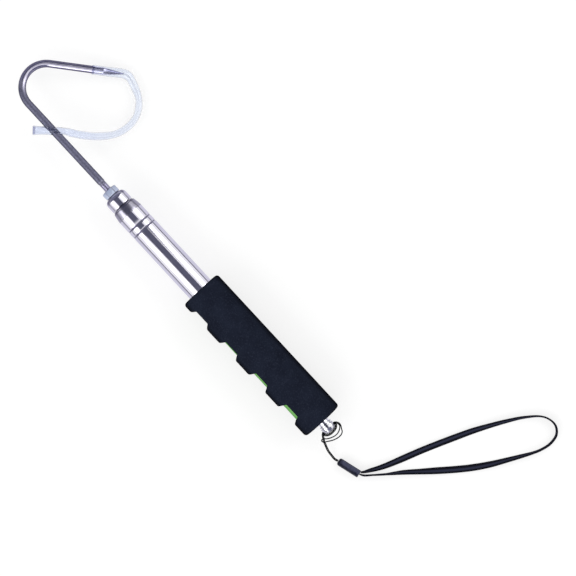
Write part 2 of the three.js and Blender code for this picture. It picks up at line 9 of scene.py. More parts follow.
import bmesh
import bpy
import numpy as np
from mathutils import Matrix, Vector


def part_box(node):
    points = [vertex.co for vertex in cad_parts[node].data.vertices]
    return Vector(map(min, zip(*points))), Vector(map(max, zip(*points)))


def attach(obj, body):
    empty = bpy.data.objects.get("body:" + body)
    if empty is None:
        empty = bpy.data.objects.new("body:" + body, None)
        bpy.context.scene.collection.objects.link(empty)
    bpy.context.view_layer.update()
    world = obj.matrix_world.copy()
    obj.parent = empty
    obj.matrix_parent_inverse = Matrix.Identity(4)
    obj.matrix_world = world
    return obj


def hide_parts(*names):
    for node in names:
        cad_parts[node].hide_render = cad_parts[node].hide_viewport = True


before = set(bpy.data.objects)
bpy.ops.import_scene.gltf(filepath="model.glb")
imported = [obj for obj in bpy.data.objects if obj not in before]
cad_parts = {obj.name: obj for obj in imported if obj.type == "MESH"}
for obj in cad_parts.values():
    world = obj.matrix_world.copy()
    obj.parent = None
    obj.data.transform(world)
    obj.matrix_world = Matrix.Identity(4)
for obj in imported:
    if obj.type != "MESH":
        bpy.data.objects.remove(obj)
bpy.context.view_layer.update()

MM = 0.001
UP = np.array([0.0, 0.0, 1.0])
AXIS_Z = 18.0
grip_low, grip_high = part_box("grip_sleeve")
SHIFT = np.array([(grip_low.x + grip_high.x) / 2, (grip_low.y + grip_high.y) / 2, 0])

# Tubes, from the outer one in; the grooves are set back from each mouth
SECTION_RADII = (11.0, 9.5, 8.0, 6.5)
WALL = 0.6
MOUTHS = (156.7, 157.9, 158.1, 158.2)
MOUTH_LENGTHS = (7.0, 5.2, 5.2, 5.2)
MOUTH_GAP = 0.25
MOUTH_STEPS = 11
OUTER_REAR = -63.0
SECTION_REAR = -51.0
SWAGE_GAP = 0.12
SWAGE_WALL = 0.3
SWAGE_CURVE = 1.25
LIP_EDGE = 0.08
GROOVES = (23.5, 17.7)
GROOVE_WIDTH = 2.0
GROOVE_DEPTH = 0.5
GROOVE_STEPS = 13
FLARE_LENGTH = 1.0
FLARE_HEIGHT = 0.45
FLARE_EDGE = 0.05
TURNED_SIDES = 144

# Ferrule
FERRULE_REAR = 158.5
FERRULE_FRONT = 168.5
FERRULE_RADIUS = 9.3
FERRULE_BORE = 3.3
NOSE_RADIUS = 5.8
DOME_LENGTH = 4
DOME_STEPS = 12
STEM_LENGTH = 20
STEM_RADIUS = 5.65

# Lock nut
NUT_REAR = 168.8
NUT_LENGTH = 5.8
NUT_FLATS = 11.0
NUT_BORE = 3.3
NUT_SINK = 0.5
NUT_FACE_SHARE = 0.97
NUT_CORNER_CUT = 0.12
NUT_CHAMFER_SLOPE = 0.42

# Hook, along its wire
WIRE_RADIUS = 3.0
WIRE_SIDES = 48
HOOK_REAR = 145.5
BEND_START = 265.5
BEND_RADIUS = 19.2
BEND_SWEEP = math.radians(139.5)
RUN_LENGTH = 58.0
POINT_LENGTH = 16.0
POINT_RADIUS = 0.25
POINT_CURVE = 0.92
POINT_BLUNT = 0.2
POINT_FADE = 4
THREAD_FRONT = 183.0
THREAD_PITCH = 1.0
THREAD_DEPTH = 0.58
THREAD_RUN_OUT = 1.2
DULL_ACROSS = (-10, -3)
DULL_ALONG = (179, 184)

# Guard: the route from the point on is given as shares of the gape, and the shank pierces it at one of them
GUARD_RADIUS = 3.2
GUARD_WALL = 0.6
GUARD_COVER = 25.0
GUARD_SIDES = 56
GUARD_STEP = 0.8
GUARD_TABLE_GAP = 0.5
GUARD_SHARES = (
    (-0.056, -0.019), (-0.141, -0.002), (-0.292, 0.057), (-0.363, 0.114), (-0.435, 0.22), (-0.461, 0.357),
    (-0.429, 0.522), (-0.31, 0.694), (-0.157, 0.832), (-0.034, 0.919), (0.04, 1), (0.081, 1.039), (0.2, 1.164),
)
PIERCE = 10
PIERCE_ENDS = (178.0, 264.0)
PIERCE_GAP = 0.15
GUARD_FIT = 0.25
GUARD_FREE_END = (-45, 0)
# How far painted shade reaches round each cut end of the guard, and how it fades
RIM_SHADE_REACHES = (3.85, 3.7)
RIM_SHADE_FADE = 0.3

# Grip and liner
GRIP_RADIUS = 17.6
GRIP_HALF = 69.5
GRIP_EDGE = 2.5
GRIP_STEM_HOLE = 4.7
GRIP_SEAT = -64.8
LINER_RADIUS = 14.0
LINER_BORE = 11.3
LINER_ENDS = (-56.7, 63.2)
LINER_EDGE = 0.4
LINER_GAP = 0.3
NOTCH_MIDDLES = (52.5, 19.8, -13.7, -47.3)
NOTCH_TURNS = (-11, -7, -3, 1)
NOTCH_PLANE = 11.7
NOTCH_FLOOR = 12.8
NOTCH_MOUTH = 18.9
NOTCH_FILLET = 0.6
NOTCH_EDGE = 0.8

# End cap, as (x, radius), and the eye across its head
CAP_OUTLINE = (
    (-79.8, 0), (-79.8, 2.6), (-79.3, 4.0), (-78.3, 4.9), (-76.4, 5.6), (-74.4, 5.9), (-74.2, 5.7), (-74.2, 4.8),
    (-73.3, 4.8), (-73.3, 5.2), (-73.1, 5.4), (-72.6, 5.4), (-72.4, 5.2),
    (-72.4, 4.4), (-64.8, 4.4), (-64.8, 3.0), (-52.8, 3.0), (-52.8, 0),
)
EYE_X = -76.1
EYE_RADIUS = 1.7
EYE_EDGE = 0.5

# Slider, with a sunk panel on its top
SLIDER_FRONT = np.array([-101.6, 12.45, 3.05])
SLIDER_REAR = np.array([-120.0, 7.55, 3.05])
SLIDER_MIDDLE = (SLIDER_FRONT + SLIDER_REAR) / 2
SLIDER_HALF = np.array([np.linalg.norm(SLIDER_REAR - SLIDER_FRONT) / 2, 3.25, 3.0])
SLIDER_ROUND = 1.7
SLIDER_NOSE_ROUND = 2.0
SLIDER_TAIL_ROUND = 0.6
SLIDER_EDGE = 0.9
PANEL_INSET = 2.6
PANEL_HALF = 1.7
PANEL_Z = 2.6
PANEL_FILLET = 0.25
PANEL_EDGE = 0.3
# Painted light makes the slider paler across this span of its width, and painted shade darkens it from its nose
LIT_SIDE_ACROSS = (-1.3, 0.7)
NOSE_SHADE = (1.2, 3.2)

# Lanyard: the pair is the middle line of two lanes, and the strap's route is (x, y, lean in degrees)
LANYARD_GAP = 0.3
CORD_RADIUS = 0.46
CORD_PITCH = 0.95
CORD_STEP = 0.35
CORD_SIDES = 12
CORD_PAIR = (
    (-98.6, 13.4, 2.9), (-94.8, 13.3, 3.1), (-89.9, 12.7, 4.4), (-85.5, 11.2, 7.0), (-82.7, 10.2, 9.2),
    (-80.9, 9.2, 11.4), (-79.0, 8.0, 14.2), (-77.3, 6.7, 16.3), (-76.3, 4.6, 17.3), (-76.0, 0, 17.4),
    (-76.1, -4.4, 17.3), (-77.2, -5.7, 17.2), (-78.7, -5.7, 17.2), (-80.0, -4.6, 17.4), (-80.8, -2.6, 17.6),
    (-81.1, 0, 18.0), (-80.9, 2.4, 18.3), (-80.2, 4.4, 18.5), (-78.9, 5.7, 18.7), (-77.3, 5.8, 18.75),
    (-76.2, 4.4, 18.7), (-76.0, 0, 18.65), (-76.2, -4.4, 18.8), (-77.1, -6.6, 19.2), (-78.9, -7.9, 19.3),
    (-81.1, -7.9, 19.1),
)
CORD_LOOP = (
    (-83.8, -6.9, 18.4), (-85.8, -5.8, 17.2), (-87.1, -3.8, 15.8), (-87.4, -0.9, 14.2), (-86.8, 2.5, 12.9),
    (-85.6, 5.5, 11.6), (-84.0, 8.3, 10.4), (-82.8, 10.4, 10.6), (-81.6, 11.2, 9.3), (-80.5, 10.8, 7.9),
    (-80.4, 9.3, 8.0), (-81.9, 7.6, 9.8), (-82.9, 6.0, 11.2), (-83.9, 3.7, 12.5), (-84.7, 0.4, 14.4),
    (-84.4, -2.8, 16.0), (-83.1, -5.4, 17.6),
)
STRAP_WIDTH = 5.6
STRAP_THICKNESS = 1.0
STRAP_PITCH = 1.9
STRAP_ASIDE = 1.0
STRAP_LIFT = 0.05
STRAP_STEP = 0.7
STRAP_END_LEANS = (12, 0)
STRAP_ROUTE = (
    (-121.2, 3.9, 18), (-123.6, -0.5, 33), (-126.7, -6.3, 44), (-129.8, -13.2, 56), (-134.8, -26.8, 72),
    (-139.6, -40.5, 70), (-144.8, -54.0, 70), (-150.1, -67.2, 68), (-155.6, -80.4, 60), (-161.6, -92.9, 44),
    (-168.0, -105.2, 33), (-175.0, -117.0, 21), (-183.6, -127.4, 9), (-190.1, -130.7, 6), (-196.7, -130.7, 7),
    (-202.1, -126.5, 8), (-204.0, -118.5, 10), (-202.6, -109.8, 10), (-199.9, -103.0, 14), (-196.8, -96.8, 23),
    (-190.4, -84.5, 38), (-183.8, -72.3, 58), (-176.5, -60.8, 72), (-168.4, -49.9, 76), (-159.9, -39.4, 70),
    (-151.2, -29.0, 47), (-142.5, -18.7, 33), (-134.5, -8.0, 8), (-127.9, 0.1, 3), (-123.2, 5.6, 6),
)

# Stage, in metres apart from the camera, which is in millimetres. The strips are where the tint that polish
# mirrors of the floor changes: along the pole, near its tubes, and beside it.
WORLD_LIGHT = 0.64
FLOOR_WHITE = 0.35
FLOOR_GLOW = 0.71
HOOK_STRIP = (0.065, 0.08)
NEAR_STRIP = (0.095, 0.105)
FAR_STRIP = (0.36, 0.44)
SOFTBOX_DEPTH = 1.6
SOFTBOX_ASIDE = 2.4
SOFTBOX_HEIGHT = 1.9
SOFTBOX_TILT = math.radians(52)
SOFTBOX_POWER = 9.5
CAMERA_PLACE = (24.3, -50.5, 2018)
CAMERA_TURN = math.radians(227.2)
CAMERA_LENS = 161.3
CAMERA_SENSOR = 36

# The middle of a noise's range, which holds most of it: one for colours, and a wider one for gloss
TONES = (0.35, 0.65)
GLOSSES = (0.3, 0.7)


def row(points):
    """Points in this file's millimetres, as the frame has them."""
    return np.asarray(points, float) * MM + SHIFT


def at(axis, place):
    """One coordinate in this file's millimetres, as the frame has it."""
    return SHIFT[axis] + place * MM


def unit(vectors):
    vectors = np.asarray(vectors, float)
    return vectors / np.maximum(np.linalg.norm(vectors, axis=-1, keepdims=True), 1e-12)


def circle(sides):
    return np.arange(sides) * 2 * math.pi / sides


SLIDER_AHEAD = unit(SLIDER_REAR - SLIDER_FRONT)
SLIDER_SIDE = np.cross(UP, SLIDER_AHEAD)


def rgb(*screen):
    """A colour given in screen values from 0 to 255, as the shader takes it."""
    shares = [v / 255 for v in screen]
    return (*[s / 12.92 if s < 0.04 else ((s + 0.055) / 1.055) ** 2.4 for s in shares], 1.0)


# Wear of metal: the noise that makes scratches and how dull they are. Then painted shade: the edges of its marks,
# as shares of their half width, and of its darkened corners, as a cosine
SCRATCHES = (0.62, 0.75)
SCRATCH_ROUGH = 0.06
MARK_FADE = (0.7, 1.3)
CORNER_FADE = (0.9, 0.98)
CORNER_STRENGTH = 0.8
PAINTED_SHADE_TONE = rgb(96, 92, 118)
PAINTED_SHADE_ROUGH = 0.3


class Look:
    """A material: plain values are set on its shader, and a graph of nodes drives what varies over a surface."""

    def __init__(self, name, **values):
        self.name = name
        self.made = bpy.data.materials.new("look_" + name)
        self.made.use_nodes = True
        self.nodes, self.links = self.made.node_tree.nodes, self.made.node_tree.links
        self.shader = self.nodes["Principled BSDF"]
        self.set(**values)

    def put(self, node, values):
        for key, value in values.items():
            if isinstance(value, bpy.types.NodeSocket):
                self.links.new(value, node.inputs[key])
            else:
                node.inputs[key].default_value = value

    def set(self, **values):
        self.put(self.shader, {key.replace("_", " "): value for key, value in values.items()})
        return self

    def node(self, kind, values=None, out=0, **settings):
        made = self.nodes.new("ShaderNode" + kind)
        for key, value in settings.items():
            setattr(made, key, value)
        self.put(made, values or {})
        return made.outputs[out]

    def math(self, operation, a, b=0.0):
        return self.node("Math", {0: a, 1: b}, operation=operation)

    def mix(self, share, a, b):
        """Colour a where the share is 0, and b where it is 1."""
        return self.node("Mix", {"Factor": share, 6: a, 7: b}, 2, data_type="RGBA")

    def span(self, value, low, high, start=0.0, end=1.0):
        """Runs from low to high as the value runs from start to end, and stays level beyond them."""
        return self.node(
            "MapRange", {"Value": value, "From Min": start, "From Max": end, "To Min": low, "To Max": high},
        )

    def rise(self, value, start=0.0, end=1.0):
        return self.span(value, 0, 1, start, end)

    def away(self, value, place):
        return self.math("ABSOLUTE", self.math("SUBTRACT", value, place))

    def spot(self, out="Object"):
        """The shaded point in the frame, its normal ("Normal") or its place in the mesh's own layout ("UV")."""
        return self.node("TexCoord", out=out)

    def part(self, axis, out="Object"):
        return self.node("SeparateXYZ", {"Vector": self.spot(out)}, axis)

    def distance(self, point):
        values = {0: self.spot(), 1: row(point).tolist()}
        return self.node("VectorMath", values, "Value", operation="DISTANCE")

    def ahead(self, start, direction):
        """How far the shaded point lies beyond a start in a direction."""
        values = {0: self.spot(), 1: direction.tolist()}
        reach = self.node("VectorMath", values, "Value", operation="DOT_PRODUCT")
        return self.math("SUBTRACT", reach, float(row(start) @ direction))

    def place(self, scale=(1, 1, 1)):
        return self.node("Mapping", {"Vector": self.spot(), "Scale": scale})

    def noise(self, vector, scale, detail, rough=0.5):
        return self.node("TexNoise", {"Vector": vector, "Scale": scale, "Detail": detail, "Roughness": rough})

    def bump(self, height, strength, depth, under=None):
        """A normal bent by a height of so many millimetres, on top of another bump if one is given."""
        values = {"Height": height, "Strength": strength, "Distance": depth * MM}
        if under is not None:
            values["Normal"] = under
        return self.node("Bump", values)


def metal(name, light, dark, smooth, rough, lines, metallic=1.0, shade_marks=(), corners=0):
    """Polished metal: cloudy wear in its gloss, lines drawn round the pole, scratches, and painted shade.

    Painted shade lies at the places listed, as (place along the pole, half width, strength), and on so many
    corners.
    """
    look = Look(name, Metallic=metallic)
    smudge = look.noise(look.place(), scale=55, detail=4)
    drawn = look.noise(look.place((9000, 220, 220)), scale=1, detail=2)
    scratch = look.noise(look.place((300, 4200, 4200)), scale=1, detail=2, rough=0.7)
    tone = look.mix(look.rise(smudge, *TONES), dark, light)
    scratched = look.span(scratch, 0, SCRATCH_ROUGH, *SCRATCHES)
    gloss = look.math("ADD", look.span(smudge, smooth, rough, *GLOSSES), scratched)
    # Painted shade: darker, duller bands at the places listed, and darker corners round the pole
    if shade_marks:
        along, near = look.part(0), 0.0
        for place, half, strength in shade_marks:
            edge = (share * half * MM for share in MARK_FADE)
            mark = look.span(look.away(along, at(0, place)), strength, 0, *edge)
            near = look.math("MAXIMUM", near, mark)
        if corners:
            over = look.math("SUBTRACT", look.part(2), AXIS_Z * MM)
            aside = look.math("SUBTRACT", look.part(1), SHIFT[1])
            lobe = look.math("COSINE", look.math("MULTIPLY", look.math("ARCTAN2", over, aside), corners))
            near = look.math("MAXIMUM", near, look.span(lobe, 0, CORNER_STRENGTH, *CORNER_FADE))
        near = look.math("MULTIPLY", near, look.span(smudge, 0.75, 1, 0.3, 0.6))
        tone = look.mix(near, tone, PAINTED_SHADE_TONE)
        gloss = look.math("ADD", gloss, look.math("MULTIPLY", near, PAINTED_SHADE_ROUGH))
    fine = look.bump(drawn, lines, depth=0.02)
    fine = look.bump(scratch, lines / 2, depth=0.01, under=fine)
    return look.set(Base_Color=tone, Roughness=gloss, Normal=fine)


def tube_look(number):
    """Steel with painted shade in the tube's grooves, at its lip and where its mouth narrows."""
    mouth, length = MOUTHS[number], MOUTH_LENGTHS[number]
    # Painted shade in each groove, at the lip, where the mouth starts to narrow and along the narrowing
    shade_marks = [(mouth - setback, 0.45, 1) for setback in GROOVES]
    shade_marks += [(mouth - 0.2, 0.5, 1), (mouth - length, 0.35, 0.8), (mouth - length / 2, length / 2, 0.6)]
    light, dark = rgb(236, 234, 243), rgb(226, 224, 236)
    return metal("tube_steel", light, dark, smooth=0.06, rough=0.13, lines=0.25, shade_marks=shade_marks)


def hook_look():
    """Steel wire: polished round its bend, point and thread, and left dull along the shank."""
    look = Look("hook_steel")
    shank = look.rise(look.part(1), *(at(1, place) for place in DULL_ACROSS))
    dull = look.math("MULTIPLY", shank, look.rise(look.part(0), *(at(0, place) for place in DULL_ALONG)))
    smudge = look.noise(look.place(), scale=140, detail=4)
    drawn = look.noise(look.place((500, 4200, 4200)), scale=1, detail=2, rough=0.7)
    pitted = look.noise(look.place(), scale=900, detail=3, rough=0.6)
    tone = look.mix(look.rise(smudge, *TONES), rgb(196, 192, 212), rgb(214, 211, 228))
    worn = look.mix(look.rise(pitted, *TONES), rgb(88, 88, 110), rgb(116, 116, 140))
    ground = look.span(look.distance(leaned(tip)), 1, 0, (POINT_LENGTH - POINT_FADE) * MM, POINT_LENGTH * MM)
    tone = look.mix(ground, tone, rgb(140, 138, 164))
    gloss = look.math("ADD", look.span(dull, 0.1, 0.45), look.math("MULTIPLY", ground, 0.15))
    return look.set(
        Base_Color=look.mix(dull, tone, worn),
        Metallic=look.span(dull, 1.0, 0.45),
        Roughness=look.math("ADD", gloss, look.span(smudge, -0.03, 0.05, *GLOSSES)),
        Normal=look.bump(drawn, strength=0.2, depth=0.03),
    )


def foam(name, light, dark, speck, shade):
    """Closed-cell foam: cells under a millimetre across, cloudy, and darker with painted shade where it doesn't
    face up.
    """
    look = Look(name, Roughness=0.92, Specular_IOR_Level=0.03)
    spot = look.place()
    cloud = look.noise(spot, scale=90, detail=4)
    grain = look.noise(spot, scale=750, detail=4, rough=0.75)
    cell = look.node("TexVoronoi", {"Vector": spot, "Scale": 1500})
    tone = look.mix(look.rise(cloud, *TONES), dark, light)
    tone = look.mix(look.span(grain, 0, 0.7, 0.52, 0.7), tone, speck)
    # Painted shade where the normal turns from facing up.
    tone = look.mix(look.rise(look.part(2, "Normal"), 0.25, 0.62), shade, tone)
    height = look.math("ADD", look.rise(cell, 0, 0.9), grain)
    return look.set(Base_Color=tone, Normal=look.bump(height, strength=0.6, depth=0.22))


def plastic(name, light, dark, rough):
    look = Look(name)
    spot = look.place()
    cloud = look.noise(spot, scale=160, detail=3)
    grain = look.noise(spot, scale=2600, detail=2)
    gloss = look.span(cloud, rough - 0.06, rough + 0.08, *GLOSSES)
    tone = look.mix(look.rise(cloud, *TONES), dark, light)
    return look.set(Base_Color=tone, Roughness=gloss, Normal=look.bump(grain, strength=0.12, depth=0.05))


def moulded_block():
    """Satin moulded plastic: painted light on one side, and painted shade at its nose and where it doesn't face
    up.
    """
    look = Look("slider_plastic", Specular_IOR_Level=0.3)
    spot = look.place()
    cloud = look.noise(spot, scale=400, detail=3)
    grain = look.noise(spot, scale=2600, detail=2)
    # Painted light: paler towards one side, with cloudy tone mixed in; then painted shade where it doesn't face
    # up and at its nose
    lit_side = look.rise(look.ahead(SLIDER_MIDDLE, SLIDER_SIDE), *(place * MM for place in LIT_SIDE_ACROSS))
    lit_side = look.math("ADD", lit_side, look.span(cloud, -0.3, 0.3, *TONES))
    tone = look.mix(look.rise(lit_side), rgb(13, 17, 42), rgb(65, 68, 92))
    tone = look.mix(look.rise(look.part(2, "Normal"), 0.3, 0.8), rgb(8, 10, 28), tone)
    from_nose = look.rise(look.ahead(SLIDER_FRONT, SLIDER_AHEAD), *(place * MM for place in NOSE_SHADE))
    tone = look.mix(from_nose, rgb(10, 13, 34), tone)
    gloss = look.span(cloud, 0.42, 0.56, *GLOSSES)
    return look.set(Base_Color=tone, Roughness=gloss, Normal=look.bump(grain, strength=0.15, depth=0.05))


def clear_vinyl(*ends):
    """Clear soft vinyl with a cool tint and a little haze, and painted light that pales it away from its free
    end.

    Each of ends is the middle of a cut end and how far the painted shade at its rim reaches from there.
    """
    look = Look("vinyl_clear", IOR=1.42, Transmission_Weight=1.0)
    haze = look.noise(look.place(), scale=70, detail=3)
    # Painted light: the tint pales away from the free end, where the guard lies on the table in its own shadow.
    free_end = look.rise(look.part(1), *(at(1, place) for place in GUARD_FREE_END))
    free_end = look.math("ADD", free_end, look.span(haze, -0.15, 0.15, *TONES))
    tone = look.mix(look.rise(free_end), rgb(246, 249, 255), rgb(236, 240, 251))
    for end, reach in ends:
        # Painted shade round each cut end
        rim_shade = look.span(look.distance(end), 1, 0, (reach - RIM_SHADE_FADE) * MM, reach * MM)
        tone = look.mix(rim_shade, tone, rgb(186, 188, 210))
    return look.set(Base_Color=tone, Roughness=look.span(haze, 0.04, 0.08, *GLOSSES))


def woven(name, light, dark, pitch, strength, turn=0.0, middle=0.0, edge_shade=None):
    """Threads in a plain weave, laid out by coordinates in millimetres along the piece and round it.

    A band also has painted shade at its edges: middle is how far round one face has its middle, and turn leads to
    the other's.
    """
    look = Look(name, Roughness=0.85, Specular_IOR_Level=0.15)
    u, v = look.part(0, "UV"), look.part(1, "UV")
    along, across = (look.math("MULTIPLY", way, math.pi / pitch) for way in (u, v))
    weave = look.math("MULTIPLY", look.math("SINE", along), look.math("SINE", across))
    ribs = look.math("ABSOLUTE", look.math("SINE", look.math("ADD", along, across)))
    height = look.math("ADD", look.rise(weave, -1, 1), look.math("MULTIPLY", ribs, 0.35))
    fuzz = look.noise(look.place(), scale=2500, detail=3)
    tone = look.mix(look.rise(height, 0.1, 1.1), dark, light)
    tone = look.mix(look.span(fuzz, 0, 0.4, 0.55, 0.75), tone, light)
    # Painted shade darkens the band's edges, away from the middles of its faces.
    if edge_shade:
        face = look.math("COSINE", look.math("MULTIPLY", look.math("SUBTRACT", v, middle), 2 * math.pi / turn))
        tone = look.mix(look.span(face, 1, 0, 0.25, 0.85), tone, edge_shade)
    return look.set(Base_Color=tone, Normal=look.bump(height, strength, depth=0.15))


FERRULE = metal("ferrule_metal", rgb(228, 226, 236), rgb(214, 212, 226), smooth=0.07, rough=0.16, lines=0.25)
CHROME = metal("cap_chrome", rgb(238, 238, 242), rgb(228, 228, 234), smooth=0.04, rough=0.1, lines=0.1)
# The lock nut gets painted shade at both of its ends and at its six corners.
ZINC = metal(
    "nut_zinc", rgb(232, 241, 255), rgb(198, 210, 240), smooth=0.2, rough=0.38, lines=0.5, metallic=0.4,
    shade_marks=[(NUT_REAR, 0.5, 1), (NUT_REAR + NUT_LENGTH, 0.35, 0.8)], corners=6,
)
NYLON = plastic("nylon", rgb(226, 224, 216), rgb(214, 211, 202), rough=0.45)
BLACK_FOAM = foam("foam_black", rgb(31, 36, 50), rgb(26, 30, 43), rgb(50, 55, 70), rgb(4, 5, 13))
GREEN_FOAM = foam("foam_green", rgb(136, 200, 116), rgb(124, 188, 106), rgb(156, 214, 134), rgb(124, 188, 106))
CORD_BLACK = woven("cord_black", rgb(14, 14, 21), rgb(9, 9, 14), pitch=0.35, strength=0.25)
SLIDER_BLUE = moulded_block()
WEBBING = woven(
    "strap_webbing", rgb(49, 52, 73), rgb(34, 37, 54), pitch=0.42, strength=0.6,
    turn=5.71, middle=3.3, edge_shade=rgb(10, 11, 24),
)


def linked(name, data):
    """A new object in the scene."""
    made = bpy.data.objects.new(name, data)
    bpy.context.scene.collection.objects.link(made)
    return made


def meshed(name, points, faces):
    mesh = bpy.data.meshes.new(name)
    mesh.from_pydata(np.asarray(points).tolist(), [], [tuple(face) for face in faces])
    return mesh


def face_outwards(mesh):
    whole = bmesh.new()
    whole.from_mesh(mesh)
    bmesh.ops.recalc_face_normals(whole, faces=whole.faces)
    whole.to_mesh(mesh)
    whole.free()


def piece(name, points, faces, look, body, stands_for, normals=None, sharp=38, uv=None):
    """A piece of the part: edges above the sharp angle, in degrees, stay crisp unless normals are given."""
    mesh = meshed(name, row(points), faces)
    if normals is None:
        face_outwards(mesh)
    mesh.materials.append(look.made)
    mesh.shade_smooth()
    if normals is not None:
        mesh.normals_split_custom_set_from_vertices(np.asarray(normals).tolist())
    elif sharp:
        mesh.set_sharp_from_angle(angle=math.radians(sharp))
    if uv is not None:
        layer = mesh.uv_layers.new(name="weave")
        for loop in mesh.loops:
            layer.data[loop.index].uv = uv[loop.vertex_index]
    made = linked(name, mesh)
    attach(made, body)
    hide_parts(*stands_for)
    return made


# Outlines, rings and lines
def softened(outline, radius, closed=True):
    """Rounds the corners of an outline by up to that radius."""
    points = [np.array(p, float) for p in outline]
    count = len(points)
    side_share, straight, steps = 0.45, -0.9, 4
    out = []
    for i, p in enumerate(points):
        if not closed and i in (0, count - 1):
            out.append(p)
            continue
        back, on = points[i - 1] - p, points[(i + 1) % count] - p
        if unit(back) @ unit(on) < straight:
            out.append(p)
            continue
        cut = min(radius, side_share * np.linalg.norm(back), side_share * np.linalg.norm(on))
        start, end = p + unit(back) * cut, p + unit(on) * cut
        out += [(1 - t) ** 2 * start + 2 * t * (1 - t) * p + t * t * end for t in np.linspace(0, 1, steps)]
    return out


def ring(centre, across, over, sides):
    """Points round a centre, by its two half axes."""
    return [centre + across * math.cos(a) + over * math.sin(a) for a in circle(sides)]


def ringed(rings, closed):
    """Points and faces of a skin over rings of equal count.

    A closed one joins its last ring to the first, and any other is capped at both ends.
    """
    rings = np.asarray(rings, float)
    many, sides = rings.shape[:2]
    faces = []
    for i in range(many if closed else many - 1):
        a, b = i * sides, ((i + 1) % many) * sides
        faces += [(a + k, a + (k + 1) % sides, b + (k + 1) % sides, b + k) for k in range(sides)]
    if not closed:
        faces += [tuple(range(sides)), tuple(range((many - 1) * sides, many * sides))[::-1]]
    return rings.reshape(-1, 3), faces


def lathe(outline):
    """A closed outline of (x, radius), turned about the pole's axis."""
    turns = circle(TURNED_SIDES)
    return ringed([[(x, r * math.cos(a), AXIS_Z + r * math.sin(a)) for a in turns] for x, r in outline], True)


def catmull(points, steps=24):
    """A centripetal curve through the points: its fine points, and the place of each along the list."""
    points = np.asarray(points, float)
    ends = np.vstack([2 * points[0] - points[1], points, 2 * points[-1] - points[-2]])
    out, places = [], []
    for i in range(len(points) - 1):
        a, b, c, d = ends[i : i + 4]
        ab, bc, cd = (max(np.linalg.norm(q - p) ** 0.5, 1e-4) for p, q in ((a, b), (b, c), (c, d)))
        start = ((b - a) / ab - (c - a) / (ab + bc) + (c - b) / bc) * bc
        end = ((c - b) / bc - (d - b) / (bc + cd) + (d - c) / cd) * bc
        for t in np.arange(steps) / steps:
            h = (2 * t**3 - 3 * t**2 + 1, t**3 - 2 * t**2 + t, -2 * t**3 + 3 * t**2, t**3 - t**2)
            out.append(h[0] * b + h[1] * start + h[2] * c + h[3] * end)
            places.append(i + t)
    return np.array(out + [points[-1]]), np.array(places + [len(points) - 1.0])


def even(line, spacing, *values):
    """The line again with evenly spaced points, how far along each lies, and the values that go with them."""
    along = np.concatenate([[0], np.cumsum(np.linalg.norm(np.diff(line, axis=0), axis=1))])
    places = np.linspace(0, along[-1], max(2, round(along[-1] / spacing) + 1))
    again = np.stack([np.interp(places, along, line[:, k]) for k in range(3)], 1)
    return again, places, *[np.interp(places, along, v) for v in values]


def headings(line):
    return unit(np.gradient(line, axis=0))


# Distance fields, negative inside
def netted(field, low, high, step):
    """Points, faces and normals of the surface of a distance field.

    Each cell that the surface passes through gets one point, in the middle of where it crosses the cell's
    edges. Each crossed edge gives a face between the four cells round it.
    """
    axes = [np.arange(a - step, b + 2 * step, step) for a, b in zip(low, high)]
    grid = np.stack(np.meshgrid(*axes, indexing="ij"), -1)
    value = field(grid)
    inside = value < 0
    cells = tuple(n - 1 for n in value.shape)
    total, count = np.zeros((*cells, 3)), np.zeros(cells)
    crossings = []
    for axis in range(3):
        near = tuple(slice(None, -1) if k == axis else slice(None) for k in range(3))
        far = tuple(slice(1, None) if k == axis else slice(None) for k in range(3))
        crossed = inside[near] != inside[far]
        share = np.where(crossed, value[near] / np.where(crossed, value[near] - value[far], 1), 0)
        place = grid[near].copy()
        place[..., axis] += share * step
        place *= crossed[..., None]
        others = [k for k in range(3) if k != axis]
        for da in (0, 1):
            for db in (0, 1):
                pick = [slice(None)] * 3
                pick[others[0]] = slice(da, None if da else -1)
                pick[others[1]] = slice(db, None if db else -1)
                total += place[tuple(pick)]
                count += crossed[tuple(pick)]
        crossings.append((axis, others, np.argwhere(crossed), inside[near][crossed]))
    ids = np.full(cells, -1)
    used = count > 0
    ids[used] = np.arange(used.sum())
    points = total[used] / count[used][:, None]
    faces = []
    for axis, (first, second), spots, solid in crossings:
        corners = []
        for da, db in ((1, 1), (0, 1), (0, 0), (1, 0)):
            spot = spots.copy()
            spot[:, first] -= da
            spot[:, second] -= db
            corners.append(ids[tuple(spot.T)])
        quads = np.stack(corners, 1)
        flip = solid != (axis != 1)
        quads[flip] = quads[flip][:, ::-1]
        faces.append(quads)
    nudge = step / 20

    def slopes():
        rises = [field(points + e) - field(points - e) for e in nudge * np.eye(3)]
        return np.stack(rises, -1) / (2 * nudge)

    # Two steps down the slope bring the points onto the surface, and none is longer than half a cell
    for _ in range(2):
        slope = slopes()
        size = np.maximum((slope**2).sum(-1), 0.25)
        points -= slope * np.clip(field(points) / size, -step / 2, step / 2)[:, None]
    return points, np.concatenate(faces), unit(slopes())


def blunt_max(a, b, radius):
    """The larger of two distances, with the edge between them rounded."""
    share = np.clip(0.5 + 0.5 * (a - b) / radius, 0, 1)
    return a * share + b * (1 - share) + radius * share * (1 - share)


def boxed(across, out, half, limit, edge):
    """Distance to a rounded rectangle in two directions."""
    a, b = np.abs(across) - half + edge, out - limit + edge
    return np.hypot(np.maximum(a, 0), np.maximum(b, 0)) + np.minimum(np.maximum(a, b), 0) - edge


def field_piece(name, field, look, stands_for, low, high, step):
    """A piece of the handle from a distance field, meshed between two corners in cells of one step."""
    points, faces, normals = netted(field, low, high, step)
    return piece(name, points, faces.tolist(), look, "handle", stands_for, normals=normals)


